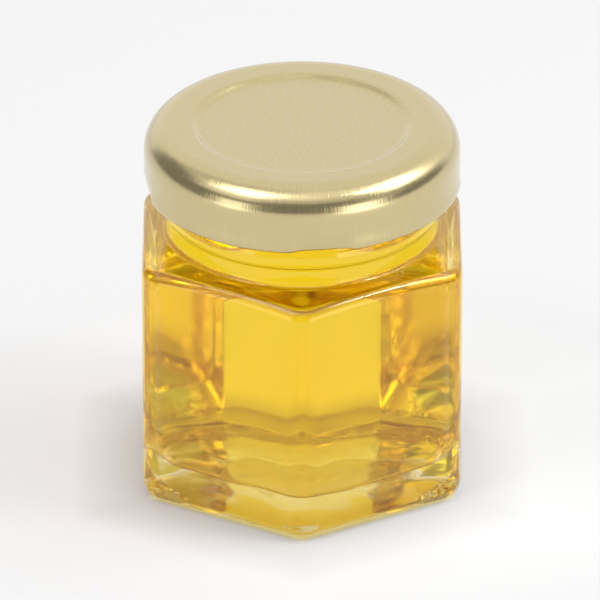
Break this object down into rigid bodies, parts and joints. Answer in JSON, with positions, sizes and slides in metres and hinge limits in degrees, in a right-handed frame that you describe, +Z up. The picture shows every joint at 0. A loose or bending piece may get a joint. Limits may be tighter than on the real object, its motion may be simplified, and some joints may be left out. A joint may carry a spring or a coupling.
{
  "type": "honey jar",
  "caption": "Small six-sided glass jar filled with clear golden honey, closed with a round twist-off lid of gold-coloured sheet metal.",
  "frame": {"origin": "middle of the base, on the surface that the jar stands on", "axes": "+Z up along the jar's axis; one upright corner of the body points to -Y and two flat sides face -X and +X"},
  "size_m": [0.0462, 0.052, 0.0549],
  "materials": {
    "glass": "clear pressed soda-lime glass",
    "honey": "clear pale golden honey",
    "lid": "satin gold lacquer on sheet metal"
  },
  "bodies": {
    "root": {"jar": "glass", "honey": "honey", "lid": "lid"}
  },
  "joints": []
}
